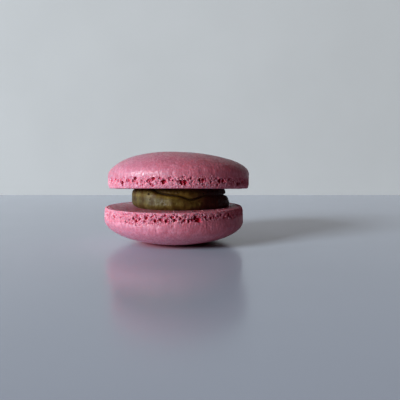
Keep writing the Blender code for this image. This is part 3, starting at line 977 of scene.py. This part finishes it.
def meringueMaterial(grain):
    material, tree, shader, place = startMaterial("bakedMeringue")
    colours = meringueFinish
    group = addNode(tree, "ShaderNodeGroup", node_tree=grain)
    feed(tree, group.inputs["Place"], place)
    group.inputs["Grain Scale"].default_value = 2.2
    group.inputs["Mottle Scale"].default_value = 0.55
    names = ("pit", "foot", "crumb", "face")
    marks = {n: addNode(tree, "ShaderNodeAttribute", attribute_name=n).outputs["Fac"] for n in names}
    tone = blend(tree, ramp(tree, group.outputs["Mottle"], 0.3, 0.7), colours["skinDeep"], colours["skinPale"])
    tone = blend(tree, 0.5, colours["skin"], tone)
    tone = blend(tree, calc(tree, "MULTIPLY", group.outputs["Fleck"], 0.5), tone, colours["skinDeep"])
    streak = noise(tree, vec(tree, "MULTIPLY", place, (1.0, 1.0, 0.28)), 2.0, 2.0)
    tone = blend(tree, ramp(tree, streak, 0.62, 0.40, 0.0, colours["streakTone"]), tone, colours["skinDeep"])
    aside = addNode(tree, "ShaderNodeSeparateXYZ", {0: place}).outputs[0]
    # painted light and shade: paler on the lit left, deeper on the shaded right
    sidePaint = blend(tree, ramp(tree, aside, *colours["sidePaintReach"]), colours["litSidePaint"], colours["shadedSidePaint"])
    tone = blend(tree, 1.0, tone, sidePaint, "MULTIPLY")
    tone = blend(tree, calc(tree, "MULTIPLY", marks["face"], 0.85), tone, colours["flatFace"])
    # the foot's raised grain turns paler: partly its own chalky colour, partly painted highlight
    pale = calc(tree, "MULTIPLY", ramp(tree, marks["crumb"], 0.0, 1.0), marks["foot"])
    tone = blend(tree, pale, tone, colours["ridgePaleAndHighlight"])
    # painted shade, partly the crumb's own redder colour: bubbles turn rose as they sink, then crimson or near black
    tone = blend(tree, calc(tree, "MULTIPLY", ramp(tree, marks["pit"], 0.08, 0.30), 0.85), tone, colours["bowlRoseAndShade"])
    pitShade = blend(tree, ramp(tree, group.outputs["Height"], 0.4, 0.6), colours["pitShadeDark"], colours["pitCrimsonAndShade"])
    tone = blend(tree, calc(tree, "MULTIPLY", ramp(tree, marks["pit"], 0.30, 0.60), 0.95), tone, pitShade)
    feed(tree, shader.inputs["Base Color"], tone)
    film = noise(tree, vec(tree, "MULTIPLY", place, (1.0, 1.0, 0.6)), 1.2, 3.0, 0.6)  # the sugar film shines where whole
    rough = ramp(tree, film, 0.42, 0.55, *colours["skinRoughness"])
    rough = blendNumber(tree, marks["foot"], rough, colours["footRoughness"])
    feed(tree, shader.inputs["Roughness"], rough)
    shader.inputs["Specular IOR Level"].default_value = colours["gloss"]
    shader.inputs["Subsurface Weight"].default_value = colours["glow"]
    shader.inputs["Subsurface Radius"].default_value = colours["glowReach"]
    shader.inputs["Subsurface Scale"].default_value = colours["glowDepth"]
    relief = calc(tree, "ADD", group.outputs["Height"], calc(tree, "MULTIPLY", streak, colours["streak"]))
    bump = addNode(tree, "ShaderNodeBump", {"Strength": 1.0, "Distance": colours["bump"] * 0.001})
    feed(tree, bump.inputs["Height"], relief)
    feed(tree, shader.inputs["Normal"], bump.outputs[0])
    return material


pasteFinish = {
    "olive": (0.135, 0.106, 0.034, 1),
    "pale": (0.235, 0.190, 0.080, 1),
    "brown": (0.080, 0.045, 0.012, 1),
    # painted shade for the fold and the dimples
    "recessShade": (0.030, 0.010, 0.004, 1),
    # painted shade: the near-black red-brown of the paste's shaded right side, and its redder flecks
    "shadeMaroon": (0.042, 0.0075, 0.0035, 1),
    "shadingTintLeft": (0.76, 0.71, 0.64, 1),     # painted shading: the lit left is dulled and the shaded right turned redder-brown
    "shadingTintRight": (0.84, 0.70, 0.42, 1),
    "shadingTintReach": (-9.0, 1.0),
    "shadeMaroonFrom": 2.0,          # painted shade: right of this the paste turns near-black red-brown where it faces away from the light, over the width below
    "shadeMaroonWidth": 8.0,
    "shadeMaroonFleck": (0.200, 0.030, 0.036, 1),
    "upperTurnPaintedLight": (1.42, 1.32, 1.10, 1),    # painted light: the upper turn, in the upper shell's shadow, is made this much paler
    "turnHeight": (14.7, 15.6),
    "roughness": (0.38, 0.60),
    "bump": 0.05,
    "gloss": 0.28,
}


def pasteMaterial(grain):
    material, tree, shader, place = startMaterial("nutPaste")
    colours = pasteFinish
    group = addNode(tree, "ShaderNodeGroup", node_tree=grain)
    feed(tree, group.inputs["Place"], place)
    group.inputs["Grain Scale"].default_value = 2.6
    group.inputs["Mottle Scale"].default_value = 0.5
    pit = addNode(tree, "ShaderNodeAttribute", attribute_name="pit").outputs["Fac"]
    fold = addNode(tree, "ShaderNodeAttribute", attribute_name="fold").outputs["Fac"]
    streak = noise(tree, vec(tree, "MULTIPLY", place, (1.0, 1.0, 0.4)), 0.42, 3.0, 0.5)
    tone = blend(tree, ramp(tree, group.outputs["Mottle"], 0.32, 0.62), colours["brown"], colours["olive"])
    tone = blend(tree, calc(tree, "MULTIPLY", ramp(tree, streak, 0.5, 0.72), 0.7), tone, colours["pale"])
    tone = blend(tree, ramp(tree, group.outputs["Height"], 0.60, 0.40, 0.0, 0.4), tone, colours["brown"])
    tone = blend(tree, calc(tree, "MULTIPLY", group.outputs["Fleck"], 0.6), tone, colours["pale"])
    aside, _, height = addNode(tree, "ShaderNodeSeparateXYZ", {0: place}).outputs
    # painted shading: dulled on the lit left, redder-brown towards the shaded right
    shadingTint = blend(tree, ramp(tree, aside, *colours["shadingTintReach"]), colours["shadingTintLeft"], colours["shadingTintRight"])
    tone = blend(tree, 1.0, tone, shadingTint, "MULTIPLY")
    # painted light on the upper turn, which lies in the upper shell's shadow
    tone = blend(tree, ramp(tree, height, *colours["turnHeight"]), tone, blend(tree, 1.0, tone, colours["upperTurnPaintedLight"], "MULTIPLY"))
    # painted shade: towards the right the paste turns near-black red-brown, with redder flecks
    aside = calc(tree, "SUBTRACT", calc(tree, "ADD", aside, sway(tree, place, 0.35, 3.0, 3.0)), colours["shadeMaroonFrom"])
    shadeMaroon = blend(tree, calc(tree, "MULTIPLY", group.outputs["Fleck"], 0.8), colours["shadeMaroon"], colours["shadeMaroonFleck"])
    tone = blend(tree, ramp(tree, aside, 0.0, colours["shadeMaroonWidth"]), tone, shadeMaroon)
    # painted shade in the fold between the turns and in the dimples
    tone = blend(tree, calc(tree, "MULTIPLY", ramp(tree, fold, 0.35, 0.9), 0.85), tone, colours["recessShade"])
    tone = blend(tree, ramp(tree, pit, 0.05, 0.25), tone, colours["recessShade"])
    feed(tree, shader.inputs["Base Color"], tone)
    feed(tree, shader.inputs["Roughness"], ramp(tree, group.outputs["Height"], 0.3, 0.7, *colours["roughness"]))
    shader.inputs["Specular IOR Level"].default_value = colours["gloss"]
    bump = addNode(tree, "ShaderNodeBump", {"Strength": 1.0, "Distance": colours["bump"] * 0.001})
    feed(tree, bump.inputs["Height"], group.outputs["Height"])
    feed(tree, shader.inputs["Normal"], bump.outputs[0])
    return material


studio = {
    "floorColour": (0.45, 0.48, 0.57, 1),
    "contactShadeAndReflection": (0.52, 0.17, 0.22, 1),      # painted shadow and reflection: crimson close beneath the shell
    "contactPaintReach": (8.0, 17.0),
    "wallColour": (0.50, 0.485, 0.49, 1),
    "floorReach": 1.2,
    "wallBehind": 0.215,
    "wallLeft": 0.9,
    "wallRight": 0.3,
    "wallTop": 0.22,
    "keyTurn": -54,           # from the front, to the left
    "keyRise": 13,
    "keyFar": 3.5,
    "keySize": (3.0, 0.8),
    "keyPower": 157.0,
    "keyColour": (0.92, 1.03, 1.05),
    "highTurn": -100,         # the upper part of the window, behind on the left
    "highRise": 46,
    "highSize": (0.6, 0.3),
    "highPower": 2.5,
    "onRoom": 1.20,           # share of the window's light that the floor and wall get
    "roomRise": 4,            # it falls on them from this much higher
    "roomWidth": 0.4,         # and from a window of this share of the width
    "roomColour": (1.0, 0.20, 0.14),
    "roomStrength": 0.045,
    "backColour": (0.50, 0.53, 0.58),
    "backInGloss": 0.12,       # share of it that shows in glossy surfaces
    "cameraAside": 0.00835,   # right of the lower shell's middle
    "cameraBack": 0.130,
    "cameraHeight": 0.0240,
    "cameraDown": 4.7,
    "lens": 36.0,
}


def plainMaterial(name, colour, contactPaint, roughness, gloss):
    material, tree, shader, place = startMaterial(name)
    value = noise(tree, place, 0.02, 2.0)
    darker = tuple(0.93 * c for c in colour[:3]) + (1,)
    tone = blend(tree, value, darker, colour)
    away = addNode(tree, "ShaderNodeVectorMath", {0: place}, operation="LENGTH").outputs["Value"]
    # painted shadow and reflection of the shell close beneath its middle
    tone = blend(tree, ramp(tree, away, *studio["contactPaintReach"]), contactPaint, tone)
    feed(tree, shader.inputs["Base Color"], tone)
    shader.inputs["Roughness"].default_value = roughness
    shader.inputs["Specular IOR Level"].default_value = gloss
    return material


def makeStage():
    reach, behind = studio["floorReach"], studio["wallBehind"]
    floorMesh = bpy.data.meshes.new("floor")
    floorMesh.from_pydata([(-reach, -reach, 0), (reach, -reach, 0), (reach, reach, 0), (-reach, reach, 0)], [], [(0, 1, 2, 3)])
    floorMesh.materials.append(plainMaterial("paleCounter", studio["floorColour"], studio["contactShadeAndReflection"], 0.20, 1.0))
    wallMesh = bpy.data.meshes.new("backWall")
    left, right, top = -studio["wallLeft"], studio["wallRight"], studio["wallTop"]
    wallMesh.from_pydata(
        [(left, behind, 0), (right, behind, 0), (right, behind, top), (left, behind, top)], [], [(0, 1, 2, 3)]
    )
    wallMesh.materials.append(plainMaterial("paleWall", studio["wallColour"], studio["wallColour"], 0.9, 0.0))
    room = bpy.data.collections.new("roomSurfaces")
    for mesh in (floorMesh, wallMesh):
        piece = bpy.data.objects.new(mesh.name, mesh)
        bpy.context.scene.collection.objects.link(piece)
        room.objects.link(piece)
    return room


def aim(thing, place, target):
    thing.location = place
    thing.rotation_euler = (Vector(target) - Vector(place)).to_track_quat("-Z", "Y").to_euler()


def makeWindow(name, turn, rise, size, power, receivers):
    data = bpy.data.lights.new(name, "AREA")
    data.shape = "RECTANGLE"
    data.size, data.size_y = size
    data.energy = power
    data.color = studio["keyColour"]
    window = bpy.data.objects.new(name, data)
    bpy.context.scene.collection.objects.link(window)
    turn, rise = math.radians(turn), math.radians(rise)
    towards = Vector((math.sin(turn) * math.cos(rise), -math.cos(turn) * math.cos(rise), math.sin(rise)))
    aim(window, towards * studio["keyFar"], (0, 0, 0.014))
    window.light_linking.receiver_collection = receivers
    return window


def makeLight(food, room):
    for name in ("key", "high"):
        turn, rise, power = (studio[name + word] for word in ("Turn", "Rise", "Power"))
        width, height = studio[name + "Size"]
        makeWindow(name + "Window", turn, rise, (width, height), power, food)
        # the same light again for the floor and the wall, without its glare on them
        onRoom = makeWindow(
            name + "WindowOnRoom", turn, rise + studio["roomRise"],
            (width * studio["roomWidth"], height), power * studio["onRoom"], room,
        )
        onRoom.visible_glossy = False
    world = bpy.data.worlds.new("room")
    world.use_nodes = True
    tree = world.node_tree
    room = tree.nodes["Background"]
    room.inputs["Color"].default_value = (*studio["roomColour"], 1)
    room.inputs["Strength"].default_value = studio["roomStrength"]
    back = addNode(tree, "ShaderNodeBackground", {"Color": (*studio["backColour"], 1)})
    path = tree.nodes.new("ShaderNodeLightPath").outputs
    glimpse = calc(tree, "MULTIPLY", path["Is Glossy Ray"], studio["backInGloss"])
    seen = calc(tree, "MAXIMUM", path["Is Camera Ray"], glimpse)
    mixed = addNode(tree, "ShaderNodeMixShader", {0: seen, 1: room.outputs[0], 2: back.outputs[0]})
    tree.links.new(mixed.outputs[0], tree.nodes["World Output"].inputs["Surface"])
    bpy.context.scene.world = world


def makeCamera():
    low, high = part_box("lower_shell")
    middle = (low + high) / 2
    data = bpy.data.cameras.new("camera")
    data.sensor_width = 36.0
    data.lens = studio["lens"]
    data.clip_start, data.clip_end = 0.005, 10.0
    camera = bpy.data.objects.new("camera", data)
    bpy.context.scene.collection.objects.link(camera)
    camera.location = (middle.x + studio["cameraAside"], -studio["cameraBack"], studio["cameraHeight"])
    camera.rotation_euler = (math.radians(90 - studio["cameraDown"]), 0, 0)
    bpy.context.scene.camera = camera



foodGrain = grainGroup()
meringue = meringueMaterial(foodGrain)
paste = pasteMaterial(foodGrain)
relief = meringueTree()
food = bpy.data.collections.new("foodPieces")
food.objects.link(makeShell("lowerShell", lowerShell, relief, meringue))
food.objects.link(makeShell("upperShell", upperShell, relief, meringue))
food.objects.link(makeFilling(paste))
for piece in makeCrumbs(meringue, paste):
    food.objects.link(piece)
print("food made")

makeLight(food, makeStage())
makeCamera()
bpy.context.scene.view_settings.view_transform = "Standard"
bpy.context.scene.view_settings.look = "Medium High Contrast"
print("stage, light and camera made")
